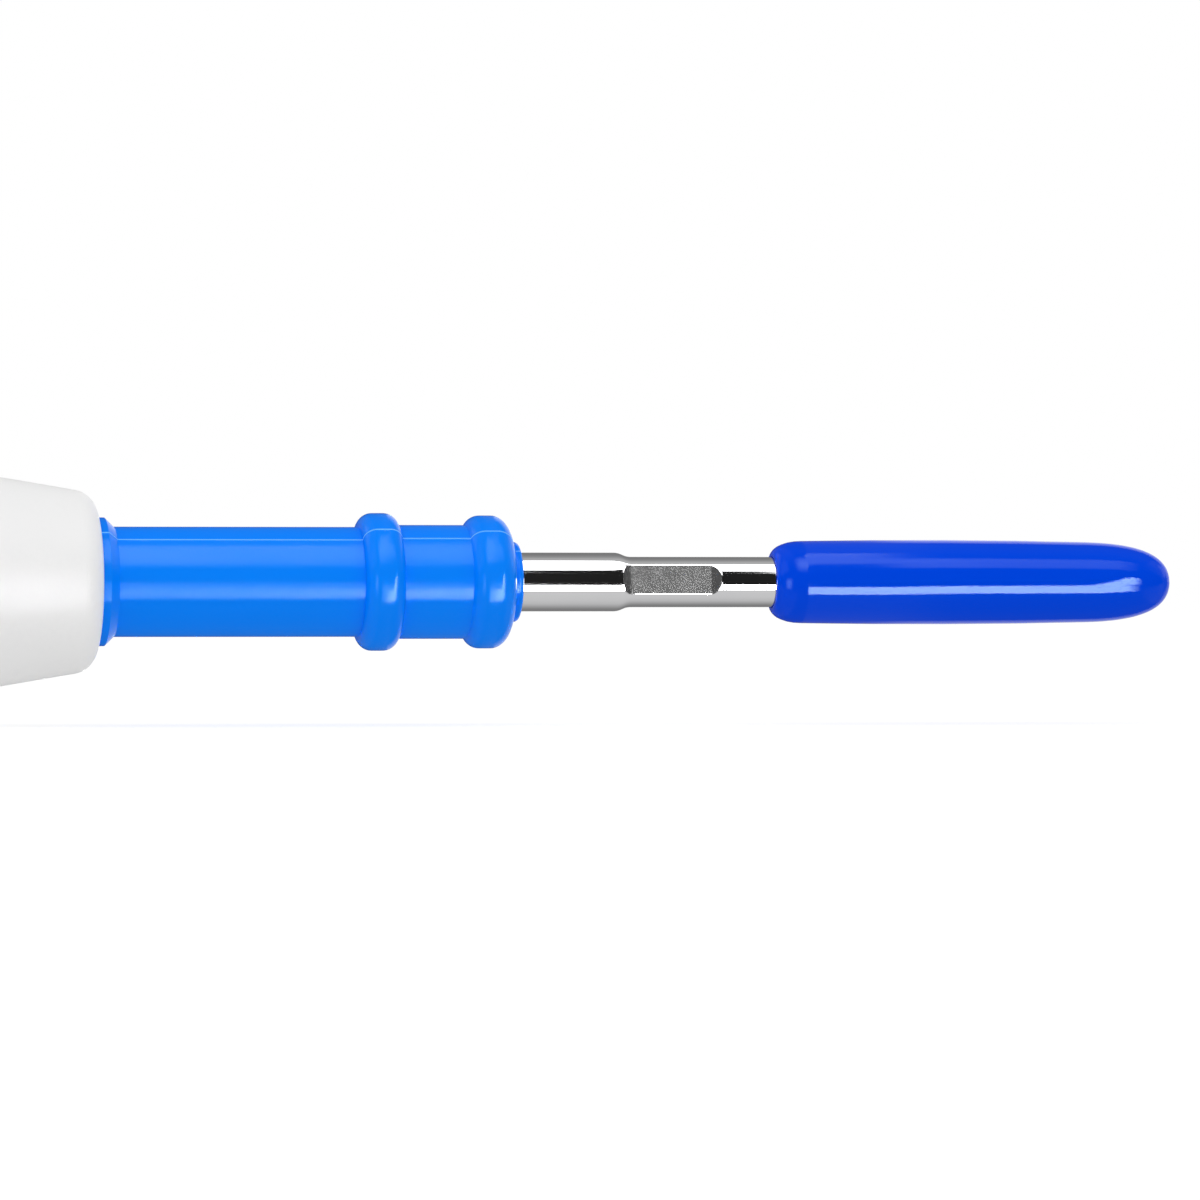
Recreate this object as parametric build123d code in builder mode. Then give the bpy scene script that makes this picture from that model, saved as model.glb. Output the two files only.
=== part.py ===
from build123d import *

import os
from math import hypot, radians, sqrt, tan

# An electrosurgical pencil: a hand-switched handle, its exchangeable blade electrode and the blade's cover.
# It lies along X with its tip towards +X, its buttons up and its flat underside on Z = 0.
# The origin is under the middle of its whole length. Sizes are in millimetres.
# Places along the axis are counted from the front face of the nose: ahead of it on the electrode and the
# cover, and as a distance behind it in the handle.

os.makedirs("parts", exist_ok=True)

# Clearances, and how far a cutting form runs past what it cuts
cut_overrun = 1.0
bonded_gap = 0.01
seat_gap = 0.03
running_gap = 0.03
moulding_gap = 0.05
button_gap = 0.15

# Insulating sleeve, moulded on the electrode's shaft
key_across_flats = 3.8
key_length = 5.0
key_chamfer = 0.35
flange_diameter = 5.17
flange_land = 0.44
flange_slope = 0.38
barrel_diameter = 4.43
barrel_length = 10.64
rear_ring_width = 1.62
rear_ring_height = 0.565
ring_shoulder = 0.58
ring_spacing = 2.78
barrel_step = 0.085
front_ring_width = 1.85
front_ring_height = 0.39
front_ring_nose = 0.8
sleeve_boss_diameter = 3.24
sleeve_boss_length = 0.33
sleeve_boss_radius = 0.18

# Electrode shaft: a steel tube, swaged to a neck that is crimped on the blade's tang
shaft_diameter = 2.38
pin_length = 26.5
shaft_end_chamfer = 0.3
bare_shaft_length = 3.91
neck_swage = 0.17
neck_taper = 0.77
neck_length = 9.1
neck_end_chamfer = 0.1
crimp_setback = 0.62
crimp_length = 3.3
crimp_rear_bevel = 0.18
crimp_front_bevel = 0.41
crimp_depth = 0.167

# Blade: a flat steel strip
blade_length = 12.2
blade_thickness = 0.4
blade_shoulder = 1.4
blade_edge_bevel = 0.12
tang_width = 1.0
tang_length = 13.0

# Tip cover: a dipped cap with a rolled mouth
cover_setback = 6.6
cover_tip_room = 0.84
cover_wall = 0.36
cover_mouth_rim = 0.06
cover_shoulder_length = 1.2
cover_diameter = 3.44
cover_shoulder_draw = 0.045
cover_front_draw = 0.075
cover_dome_length = 3.5
cover_dome_fullness = 0.67
cover_lip_length = 1.3
cover_lip_slope = 0.5

# Nose cone
nose_face_diameter = 7.1
nose_edge_radius = 1.0
nose_cone_length = 5.0
nose_cone_angle = 9.56
nose_length = 14.0
key_room = 0.3
seal_section = 1.0

# Electrode socket with its spring ring, and the strap to the board
socket_setback = 0.8
socket_wall = 0.53
socket_floor = 0.6
socket_pin_room = 0.5
socket_slot_length = 7.0
socket_slot_width = 0.4
socket_collar_setback = 0.6
socket_collar_height = 0.85
socket_collar_width = 1.2
socket_tail_diameter = 2.4
socket_tail_length = 3.0
finger_room = 0.65
finger_end_room = 0.3
spring_wire = 0.4
spring_opening = 50
spring_groove_depth = 0.18
spring_setback = 1.5
strap_thickness = 0.22
strap_width = 2.2
strap_overlap = 6.0
strap_ear_length = 1.6

# Circuit board, contact pads, domes, seal and terminals
board_setback = 1.4
board_length = 42.0
board_thickness = 0.8
board_side_room = 0.8
board_corner = 0.8
board_pin_inset = 4.0
board_pin_spread = 5.6
board_pin_diameter = 1.0
board_boss_diameter = 2.2
board_ledge_overlap = 0.5
terminal_inset = 7.5
terminal_count = 3
terminal_pitch = 1.8
terminal_diameter = 0.7
terminal_length = 3.0
terminal_drop = 0.9
pad_thickness = 0.05
pad_ring_width = 0.6
pad_centre_diameter = 1.6
dome_diameter = 4.8
dome_height = 0.45
dome_sheet = 0.12
seal_sheet = 0.35
seal_pocket_room = 0.1
seal_pocket_wall = 0.6

# Buttons and the console that they stand in
cut_setback = 7.0
button_pitch = 14.0
button_length = 10.6
button_width = 5.4
button_corner = 2.2
button_proud = 0.9
button_wall = 1.0
button_edge_radius = 0.45
button_flange = 0.7
button_flange_thickness = 1.0
button_stem_diameter = 2.2
button_dish_length = 8.4
button_dish_depth = 0.35
button_rib_height = 0.25
button_rib_radius = 0.4
button_rib_pitch = 1.8
button_rib_length = 3.4
cut_button_ribs = 3
coag_button_ribs = 1
console_rise = 0.45
console_depth = 2.6
console_margin = 1.4
console_corner = 3.2
console_edge_radius = 0.45
chute_wall = 0.7
window_chamfer = 0.2

# Handle body: two shells that meet at the height of the axis, between the nose cone and the tail collar
handle_length = 140.0
wall = 1.2
front_diameter = 11.0
grip_rise = 6.35
grip_drop = 6.25
grip_side_flat = 1.2
waist_before_tail = 28.0
waist_width = 10.8
waist_rise = 5.5
waist_drop = 6.2
waist_side_flat = 0.6
end_side_flat = 0.05
flat_cut = 0.45
front_block_rear = 1.3
tail_block_length = 5.0
tongue_height = 0.8
spigot_wall = 1.3
snap_bead_height = 0.15
snap_bead_width = 1.0
snap_setback = 3.5

# Grip grooves on both flanks
groove_count = 7
groove_pitch = 1.9
groove_width = 0.8
groove_depth = 0.3
groove_height = 7.6
groove_setback = 4.5

# Posts that join the shells, and ribs that steady the cord
post_diameter = 1.8
post_pin_diameter = 1.0
post_pin_length = 1.5
post_spread = 6.2
front_post_setback = 1.0
middle_post_setback = 4.0
rear_post_inset = 19.0
rib_count = 3
rib_width = 1.0

# Tail collar and cable gland
cord_bore_diameter = 4.1
gland_wall = 0.85
gland_mouth_chamfer = 0.25
gland_flange_height = 0.5
gland_flange_width = 1.4
gland_flange_setback = 1.5
gland_lip = 0.6
gland_lip_height = 0.3
tail_spigot_wall = 0.75
tail_collar_length = 6.0
tail_collar_wall = 0.95
tail_collar_taper = 0.25
tail_collar_end_wall = 1.2
tail_edge_radius = 0.7

# Places on the electrode and its cover, ahead of the nose face
rear_ring_end = barrel_length + rear_ring_width
front_ring_start = rear_ring_end + ring_spacing
front_ring_end = front_ring_start + front_ring_width
sleeve_end = front_ring_end + sleeve_boss_length
neck_start = sleeve_end + bare_shaft_length
taper_end = neck_start + neck_taper
taper_middle = neck_start + neck_taper / 2
neck_end = taper_end + neck_length
crimp_start = neck_start + crimp_setback
crimp_end = crimp_start + crimp_length
blade_tip = neck_end + blade_length
tang_end = neck_end - tang_length
cover_start = neck_start + cover_setback
cover_end = blade_tip + cover_tip_room + cover_wall

# Radii on the electrode and its cover
barrel_radius = barrel_diameter / 2
front_barrel_radius = barrel_radius + barrel_step
rear_ring_radius = barrel_radius + rear_ring_height
front_ring_radius = front_barrel_radius + front_ring_height
boss_radius = sleeve_boss_diameter / 2
shaft_radius = shaft_diameter / 2
neck_radius = shaft_radius - neck_swage
tang_bore_radius = hypot(tang_width, blade_thickness) / 2 + seat_gap
blade_half_width = sqrt(neck_radius**2 - (blade_thickness / 2) ** 2)
cover_bore_radius = neck_radius + running_gap
cover_mouth_radius = cover_bore_radius + cover_mouth_rim
cover_radius = cover_diameter / 2

# Places in the handle, as distances behind the nose face
key_hole_depth = key_length + key_room
spigot_front = key_hole_depth + seal_section + 2 * moulding_gap
socket_front = spigot_front + socket_setback
spigot_bore_rear = socket_front + socket_slot_length + finger_end_room
collar_front = spigot_bore_rear + socket_collar_setback
collar_rear = collar_front + socket_collar_width
cavity_front = collar_rear + front_block_rear
socket_bore_rear = pin_length + socket_pin_room
socket_body_rear = socket_bore_rear + socket_floor
socket_rear = socket_body_rear + socket_tail_length
board_front = socket_rear + board_setback
board_rear = board_front + board_length
cut_place = board_front + cut_setback
coag_place = cut_place + button_pitch
buttons_middle = (cut_place + coag_place) / 2
terminals_place = board_rear - terminal_inset
board_pins_place = board_rear - board_pin_inset
shell_rear = handle_length - tail_collar_length
cavity_rear = shell_rear - tail_block_length
gland_front = cavity_rear + gland_flange_setback
tail_spigot_rear = handle_length - tail_collar_end_wall - moulding_gap
front_posts = socket_rear - front_post_setback
middle_posts = board_rear + middle_post_setback
rear_posts = cavity_rear - rear_post_inset
snap_place = nose_length - snap_setback

# Radii in the handle
nose_slope = tan(radians(nose_cone_angle))
nose_cone_radius = nose_face_diameter / 2 + nose_slope * nose_cone_length
socket_bore_radius = shaft_radius + running_gap
socket_radius = socket_bore_radius + socket_wall
socket_collar_radius = socket_radius + socket_collar_height
socket_tail_radius = socket_tail_diameter / 2
spigot_bore_radius = socket_radius + finger_room
spigot_radius = spigot_bore_radius + spigot_wall
seal_pocket_radius = socket_bore_radius + seal_section + moulding_gap
cord_bore_radius = cord_bore_diameter / 2
gland_radius = cord_bore_radius + gland_wall
gland_flange_radius = gland_radius + gland_flange_height
tail_bore_radius = gland_radius + moulding_gap
tail_spigot_radius = tail_bore_radius + tail_spigot_wall
tail_radius = tail_spigot_radius + moulding_gap + tail_collar_wall

# Heights
axis_height = grip_drop - flat_cut
board_bottom = axis_height - socket_tail_radius
board_top = board_bottom + board_thickness
pad_bottom = board_top + bonded_gap
dome_bottom = pad_bottom + pad_thickness + bonded_gap
dome_top = dome_bottom + dome_height
seal_bottom = board_top + bonded_gap
seal_top = dome_top + bonded_gap + seal_sheet
stem_bottom = seal_top + seat_gap
grip_top = axis_height + grip_rise
console_top = grip_top + console_rise
chute_ceiling = console_top - console_depth
flange_top = chute_ceiling - moulding_gap
flange_bottom = flange_top - button_flange_thickness
button_top = console_top + button_proud

# Lengths and widths that follow
chute_margin = button_flange + button_gap
chute_length = button_length + 2 * chute_margin
chute_width = button_width + 2 * chute_margin
chute_block_length = button_pitch + chute_length + 2 * chute_wall
chute_block_width = chute_width + 2 * chute_wall
board_width = chute_block_width - 2 * moulding_gap
seal_width = board_width - 2 * moulding_gap
grip_width = board_width + 2 * (board_side_room + wall)
console_length = button_pitch + button_length + 2 * console_margin
console_width = button_width + 2 * console_margin
overall_length = handle_length + gland_lip + cover_end
nose_x = overall_length / 2 - cover_end

axis_plane = Plane(origin=(nose_x, 0, axis_height), x_dir=(1, 0, 0), z_dir=(0, -1, 0))
pencil_axis = Axis((nose_x, 0, axis_height), (1, 0, 0))


def section_plane(ahead):
    """A cross-section's plane at a place ahead of the nose face: its x along Y, its y up."""
    return Plane(origin=(nose_x + ahead, 0, axis_height), x_dir=(0, 1, 0), z_dir=(1, 0, 0))


def level_plane(height):
    """A level plane at a height above the flat underside, its origin below the nose face."""
    return Plane(origin=(nose_x, 0, height), x_dir=(1, 0, 0), z_dir=(0, 0, 1))


def round_bar(front, rear, radius, mode=Mode.ADD):
    """A round bar on the axis between two distances behind the nose face."""
    with BuildSketch(section_plane(-rear)) as section:
        Circle(radius)
    extrude(section.sketch, amount=rear - front, mode=mode)


def slab(front, rear, low, high, mode=Mode.ADD):
    """A slab across the whole handle between two distances and two heights."""
    with BuildSketch(level_plane(low)) as outline:
        with Locations((-(front + rear) / 2, 0)):
            Rectangle(rear - front, grip_width + 2 * cut_overrun)
    extrude(outline.sketch, amount=high - low, mode=mode)


def bead(distance, radius, mode=Mode.ADD):
    """A low ring round a spigot, or the groove that takes it."""
    with BuildSketch(axis_plane) as outline:
        with BuildLine():
            Polyline(
                (-distance - snap_bead_width / 2, radius),
                (-distance, radius + snap_bead_height),
                (-distance + snap_bead_width / 2, radius),
                (-distance + snap_bead_width / 2, radius - snap_bead_height),
                (-distance - snap_bead_width / 2, radius - snap_bead_height),
                close=True,
            )
        make_face()
    revolve(outline.sketch, axis=pencil_axis, mode=mode)


def uprights(distance, spread, diameter, low, high, mode=Mode.ADD):
    """A pair of round uprights, one on each side of the axis, between two heights."""
    with BuildSketch(level_plane(low)) as outline:
        with Locations((-distance, -spread / 2), (-distance, spread / 2)):
            Circle(diameter / 2)
    extrude(outline.sketch, amount=high - low, mode=mode)


def body_form(inset):
    """The smooth body between the nose cone and the tail collar, drawn in all round by the inset."""
    stations = [
        (nose_length, front_diameter, front_diameter / 2, front_diameter / 2, end_side_flat),
        (board_front, grip_width, grip_rise, grip_drop, grip_side_flat),
        (coag_place + button_length, grip_width, grip_rise, grip_drop, grip_side_flat),
        (shell_rear - waist_before_tail, waist_width, waist_rise, waist_drop, waist_side_flat),
        (shell_rear, 2 * tail_radius, tail_radius, tail_radius, end_side_flat),
    ]
    with BuildPart() as form:
        for distance, width, rise, drop, side_flat in stations:
            top = rise - inset
            bottom = min(drop, axis_height) - inset if inset > 0 else drop
            corner = min(width / 2, (rise + drop) / 2) - side_flat - inset
            with BuildSketch(section_plane(-distance)):
                with Locations((0, (top - bottom) / 2)):
                    RectangleRounded(width - 2 * inset, top + bottom, corner)
        loft()
    return form.part


# The forms that the shells are cut from
outer_form = body_form(0)
groove_form = body_form(groove_depth)
recess_form = body_form(wall / 2)
tongue_form = body_form(wall / 2 + moulding_gap)
inner_form = body_form(wall)
liner_form = body_form(wall + moulding_gap)

# Electrode shaft, with its swaged neck, its crimp flats and the bore for the tang
crimp_reach = 3
crimp_flat = neck_radius - crimp_depth
crimp_cut_top = crimp_flat + crimp_reach * crimp_depth
with BuildPart() as electrode_shaft:
    with BuildSketch(axis_plane):
        with BuildLine():
            Polyline(
                (neck_end, 0),
                (-pin_length, 0),
                (-pin_length, shaft_radius - shaft_end_chamfer),
                (-pin_length + shaft_end_chamfer, shaft_radius),
                (neck_start, shaft_radius),
            )
            Bezier(
                (neck_start, shaft_radius),
                (taper_middle, shaft_radius),
                (taper_middle, neck_radius),
                (taper_end, neck_radius),
            )
            Polyline(
                (taper_end, neck_radius),
                (neck_end - neck_end_chamfer, neck_radius),
                (neck_end, neck_radius - neck_end_chamfer),
                (neck_end, 0),
            )
        make_face()
    revolve(axis=pencil_axis)
    with BuildSketch(level_plane(axis_height)):
        with BuildLine():
            Polyline(
                (crimp_start - crimp_reach * crimp_rear_bevel, crimp_cut_top),
                (crimp_start, crimp_flat),
                (crimp_end, crimp_flat),
                (crimp_end + crimp_reach * crimp_front_bevel, crimp_cut_top),
                close=True,
            )
        make_face()
        mirror(about=Plane.XZ)
    extrude(amount=shaft_diameter, both=True, mode=Mode.SUBTRACT)
    with BuildSketch(section_plane(crimp_end)):
        Circle(tang_bore_radius)
    extrude(amount=neck_end - crimp_end, mode=Mode.SUBTRACT)
    with BuildSketch(section_plane(crimp_start)):
        Circle(tang_bore_radius)
        Rectangle(blade_thickness + 2 * bonded_gap, 2 * tang_bore_radius, mode=Mode.INTERSECT)
    extrude(amount=crimp_length, mode=Mode.SUBTRACT)
    with BuildSketch(section_plane(tang_end - seat_gap)):
        Circle(tang_bore_radius)
    extrude(amount=crimp_start - tang_end + seat_gap, mode=Mode.SUBTRACT)
electrode_shaft.part.label = "electrode_shaft"
export_step(electrode_shaft.part, "parts/electrode_shaft.step")

# Blade with its tang
blade_start = neck_end + seat_gap
with BuildPart() as electrode_blade:
    with BuildSketch(axis_plane):
        with BuildLine():
            Polyline(
                (blade_tip, 0),
                (tang_end, 0),
                (tang_end, tang_width / 2),
                (blade_start, tang_width / 2),
                (blade_start + blade_shoulder, blade_half_width),
                (blade_tip - blade_half_width, blade_half_width),
            )
            TangentArc(
                (blade_tip - blade_half_width, blade_half_width),
                (blade_tip, 0),
                tangent=(1, 0),
            )
        make_face()
        mirror(about=Plane.XZ)
    extrude(amount=blade_thickness / 2, both=True)
    flats = faces().group_by(Axis.Y)
    rims = flats[0].edges() + flats[-1].edges()
    shoulder_middle = nose_x + blade_start + blade_shoulder / 2
    chamfer(rims.filter_by_position(Axis.X, shoulder_middle, nose_x + blade_tip), blade_edge_bevel)
electrode_blade.part.label = "electrode_blade"
export_step(electrode_blade.part, "parts/electrode_blade.step")

# Insulating sleeve, from the hexagonal key to the boss in front of the front ring
with BuildPart() as electrode_sleeve:
    with BuildSketch(axis_plane):
        with BuildLine():
            Polyline(
                (seat_gap, 0),
                (seat_gap, flange_diameter / 2),
                (flange_land, flange_diameter / 2),
                (flange_land + flange_slope, barrel_radius),
                (barrel_length, barrel_radius),
            )
            TangentArc(
                (barrel_length + ring_shoulder, rear_ring_radius),
                (barrel_length, barrel_radius),
                tangent=(-1, 0),
            )
            Line(
                (barrel_length + ring_shoulder, rear_ring_radius),
                (rear_ring_end - ring_shoulder, rear_ring_radius),
            )
            TangentArc(
                (rear_ring_end - ring_shoulder, rear_ring_radius),
                (rear_ring_end, front_barrel_radius),
                tangent=(1, 0),
            )
            Line((rear_ring_end, front_barrel_radius), (front_ring_start, front_barrel_radius))
            TangentArc(
                (front_ring_start + ring_shoulder, front_ring_radius),
                (front_ring_start, front_barrel_radius),
                tangent=(-1, 0),
            )
            Line(
                (front_ring_start + ring_shoulder, front_ring_radius),
                (front_ring_end - front_ring_nose, front_ring_radius),
            )
            EllipticalCenterArc(
                (front_ring_end - front_ring_nose, boss_radius),
                front_ring_nose,
                front_ring_radius - boss_radius,
                start_angle=0,
                arc_size=90,
            )
            Line((front_ring_end, boss_radius), (sleeve_end - sleeve_boss_radius, boss_radius))
            TangentArc(
                (sleeve_end - sleeve_boss_radius, boss_radius),
                (sleeve_end, boss_radius - sleeve_boss_radius),
                tangent=(1, 0),
            )
            Polyline((sleeve_end, boss_radius - sleeve_boss_radius), (sleeve_end, 0), (seat_gap, 0))
        make_face()
    revolve(axis=pencil_axis)
    with BuildSketch(section_plane(seat_gap)):
        RegularPolygon(key_across_flats / 2, 6, major_radius=False)
    extrude(amount=-key_length - seat_gap)
    chamfer(faces().sort_by(Axis.X)[0].edges(), key_chamfer)
    round_bar(
        -sleeve_end - cut_overrun,
        key_length + cut_overrun,
        shaft_radius + bonded_gap,
        mode=Mode.SUBTRACT,
    )
electrode_sleeve.part.label = "electrode_sleeve"
export_step(electrode_sleeve.part, "parts/electrode_sleeve.step")


def cover_side(inset, start):
    """The line of the cover's side and dome on the axis plane, drawn in by the inset."""
    dome_start = cover_end - cover_dome_length
    dome_end = cover_end - inset
    side = ThreePointArc(
        (start, cover_radius - cover_shoulder_draw - inset),
        ((2 * start + dome_start) / 3, cover_radius - inset),
        (dome_start, cover_radius - cover_front_draw - inset),
    )
    reach = cover_dome_fullness * (dome_end - dome_start)
    Bezier(
        side @ 1,
        side @ 1 + (side % 1) * reach,
        (dome_end, cover_dome_fullness * (cover_radius - cover_front_draw - inset)),
        (dome_end, 0),
    )


# Tip cover
cover_shoulder = cover_start + cover_shoulder_length
cover_lip_end = cover_start + cover_lip_length
cover_room_start = cover_lip_end + cover_lip_slope
with BuildPart() as tip_cover:
    with BuildSketch(axis_plane):
        with BuildLine():
            Polyline((cover_end, 0), (cover_start, 0), (cover_start, cover_mouth_radius))
            EllipticalCenterArc(
                (cover_shoulder, cover_mouth_radius),
                cover_shoulder_length,
                cover_radius - cover_shoulder_draw - cover_mouth_radius,
                start_angle=90,
                arc_size=90,
            )
            cover_side(0, cover_shoulder)
        make_face()
    revolve(axis=pencil_axis)
    with BuildSketch(axis_plane):
        with BuildLine():
            Polyline(
                (cover_end - cover_wall, 0),
                (cover_start, 0),
                (cover_start, cover_bore_radius),
                (cover_lip_end, cover_bore_radius),
                (cover_room_start, cover_radius - cover_shoulder_draw - cover_wall),
            )
            cover_side(cover_wall, cover_room_start)
        make_face()
    revolve(axis=pencil_axis, mode=Mode.SUBTRACT)
tip_cover.part.label = "tip_cover"
export_step(tip_cover.part, "parts/tip_cover.step")

# Nose cone
nose_rear = nose_length - moulding_gap
with BuildPart() as nose_cone:
    with BuildSketch(axis_plane):
        with BuildLine():
            Polyline(
                (-nose_rear, front_diameter / 2),
                (-nose_rear, 0),
                (0, 0),
                (0, nose_face_diameter / 2),
                (-nose_cone_length, nose_cone_radius),
            )
            TangentArc(
                (-nose_cone_length, nose_cone_radius),
                (-nose_rear, front_diameter / 2),
                tangent=(-1, nose_slope),
            )
        make_face()
    revolve(axis=pencil_axis)
    fillet(edges().filter_by(GeomType.CIRCLE).sort_by(Axis.X)[-1], nose_edge_radius)
    with BuildSketch(section_plane(0)):
        RegularPolygon(key_across_flats / 2 + moulding_gap, 6, major_radius=False)
    extrude(amount=-key_hole_depth, mode=Mode.SUBTRACT)
    round_bar(key_hole_depth, nose_length, seal_pocket_radius, mode=Mode.SUBTRACT)
    round_bar(spigot_front, nose_length, spigot_radius + moulding_gap, mode=Mode.SUBTRACT)
    bead(snap_place, spigot_radius + moulding_gap, mode=Mode.SUBTRACT)
nose_cone.part.label = "nose_cone"
export_step(nose_cone.part, "parts/nose_cone.step")

# Seal ring round the shaft, between the key and the socket
with BuildPart() as shaft_seal:
    with BuildSketch(axis_plane):
        with Locations((-(key_hole_depth + spigot_front) / 2, socket_bore_radius + seal_section / 2)):
            Circle(seal_section / 2)
    revolve(axis=pencil_axis)
shaft_seal.part.label = "shaft_seal"
export_step(shaft_seal.part, "parts/shaft_seal.step")

# Electrode socket: a slotted tube with a collar, and a stem for the strap
spring_place = socket_front + spring_setback
spring_radius = socket_radius - spring_groove_depth + bonded_gap + spring_wire / 2
with BuildPart() as electrode_socket:
    round_bar(socket_front, socket_body_rear, socket_radius)
    round_bar(collar_front, collar_rear, socket_collar_radius)
    round_bar(socket_body_rear, socket_rear, socket_tail_radius)
    chamfer(edges().filter_by(GeomType.CIRCLE).sort_by(Axis.X)[0], socket_wall / 2)
    with BuildSketch(axis_plane):
        with Locations((-spring_place, socket_radius)):
            Rectangle(spring_wire + 2 * bonded_gap, 2 * spring_groove_depth)
    revolve(axis=pencil_axis, mode=Mode.SUBTRACT)
    round_bar(socket_front, socket_bore_rear, socket_bore_radius, mode=Mode.SUBTRACT)
    with BuildSketch(section_plane(-socket_front)):
        Rectangle(2 * (socket_radius + cut_overrun), socket_slot_width)
        Rectangle(socket_slot_width, 2 * (socket_radius + cut_overrun))
    extrude(amount=-socket_slot_length, mode=Mode.SUBTRACT)
electrode_socket.part.label = "electrode_socket"
export_step(electrode_socket.part, "parts/electrode_socket.step")

# Spring ring round the socket's fingers, open at one side
with BuildPart() as socket_spring:
    with BuildSketch(axis_plane):
        with Locations((-spring_place, spring_radius)):
            Circle(spring_wire / 2)
    revolve(axis=pencil_axis, revolution_arc=360 - spring_opening)
socket_spring.part.label = "socket_spring"
export_step(socket_spring.part, "parts/socket_spring.step")

# Strap from the socket's stem to the underside of the board, with two ears beside the stem
strap_top = board_bottom - bonded_gap
strap_front = socket_body_rear + seat_gap
strap_rear = board_front + strap_overlap
strap_ear_place = (socket_body_rear + socket_rear) / 2
strap_ear_offset = socket_tail_radius + bonded_gap + strap_thickness / 2
with BuildPart() as active_strap:
    with BuildSketch(level_plane(strap_top - strap_thickness)):
        with Locations((-(strap_front + strap_rear) / 2, 0)):
            Rectangle(strap_rear - strap_front, strap_width)
        with Locations((-strap_ear_place, 0)):
            Rectangle(strap_ear_length, 2 * strap_ear_offset + strap_thickness)
    extrude(amount=strap_thickness)
    with BuildSketch(level_plane(strap_top)):
        with Locations((-strap_ear_place, -strap_ear_offset), (-strap_ear_place, strap_ear_offset)):
            Rectangle(strap_ear_length, strap_thickness)
    extrude(amount=socket_tail_radius)
active_strap.part.label = "active_strap"
export_step(active_strap.part, "parts/active_strap.step")

# Circuit board, drilled for its two locating pins and its terminals
board_middle = (board_front + board_rear) / 2
with BuildPart() as circuit_board:
    with BuildSketch(level_plane(board_bottom)):
        with Locations((-board_middle, 0)):
            RectangleRounded(board_length, board_width, board_corner)
        with Locations((-board_pins_place, -board_pin_spread / 2), (-board_pins_place, board_pin_spread / 2)):
            Circle(board_pin_diameter / 2 + moulding_gap, mode=Mode.SUBTRACT)
        with Locations((-terminals_place, 0)):
            with GridLocations(1, terminal_pitch, 1, terminal_count):
                Circle(terminal_diameter / 2 + bonded_gap, mode=Mode.SUBTRACT)
    extrude(amount=board_thickness)
circuit_board.part.label = "circuit_board"
export_step(circuit_board.part, "parts/circuit_board.step")

# Terminals for the cord's wires
with BuildPart() as terminal_pins:
    with BuildSketch(level_plane(board_bottom - terminal_drop)):
        with Locations((-terminals_place, 0)):
            with GridLocations(1, terminal_pitch, 1, terminal_count):
                Circle(terminal_diameter / 2)
    extrude(amount=terminal_length)
terminal_pins.part.label = "terminal_pins"
export_step(terminal_pins.part, "parts/terminal_pins.step")

# Contact pads on the board: under each dome a ring for its rim and a spot for its middle
with BuildPart() as contact_pads:
    with BuildSketch(level_plane(pad_bottom)):
        with Locations((-cut_place, 0), (-coag_place, 0)):
            Circle(dome_diameter / 2 + moulding_gap)
            Circle(dome_diameter / 2 + moulding_gap - pad_ring_width, mode=Mode.SUBTRACT)
            Circle(pad_centre_diameter / 2)
    extrude(amount=pad_thickness)
contact_pads.part.label = "contact_pads"
export_step(contact_pads.part, "parts/contact_pads.step")

# Snap domes, one under each button
for name, place in (("cut_dome", cut_place), ("coag_dome", coag_place)):
    dome_plane = Plane(origin=(nose_x - place, 0, dome_bottom), x_dir=(1, 0, 0), z_dir=(0, -1, 0))
    with BuildPart() as snap_dome:
        with BuildSketch(dome_plane):
            with BuildLine():
                TangentArc((0, dome_height), (dome_diameter / 2, 0), tangent=(1, 0))
                Line((dome_diameter / 2, 0), (dome_diameter / 2 - dome_sheet, 0))
                TangentArc((0, dome_height - dome_sheet), (dome_diameter / 2 - dome_sheet, 0), tangent=(1, 0))
                Line((0, dome_height - dome_sheet), (0, dome_height))
            make_face()
        revolve(axis=Axis((nose_x - place, 0, 0), (0, 0, 1)))
    snap_dome.part.label = name
    export_step(snap_dome.part, f"parts/{name}.step")

# Button seal: a soft sheet on the board with a pocket over each dome
seal_length = chute_block_length - 2 * moulding_gap
seal_pocket_radius_inside = dome_diameter / 2 + seal_pocket_room
with BuildPart() as button_seal:
    with BuildSketch(level_plane(seal_bottom)):
        with Locations((-buttons_middle, 0)):
            RectangleRounded(seal_length, seal_width, board_corner)
    extrude(amount=seal_sheet)
    with BuildSketch(level_plane(seal_bottom)):
        with Locations((-cut_place, 0), (-coag_place, 0)):
            Circle(seal_pocket_radius_inside + seal_pocket_wall)
    extrude(amount=seal_top - seal_bottom)
    fillet(edges().filter_by(GeomType.CIRCLE).group_by(Axis.Z)[-1], seal_sheet / 2)
    with BuildSketch(level_plane(seal_bottom)):
        with Locations((-cut_place, 0), (-coag_place, 0)):
            Circle(seal_pocket_radius_inside)
    extrude(amount=dome_top + bonded_gap - seal_bottom, mode=Mode.SUBTRACT)
button_seal.part.label = "button_seal"
export_step(button_seal.part, "parts/button_seal.step")

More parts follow.
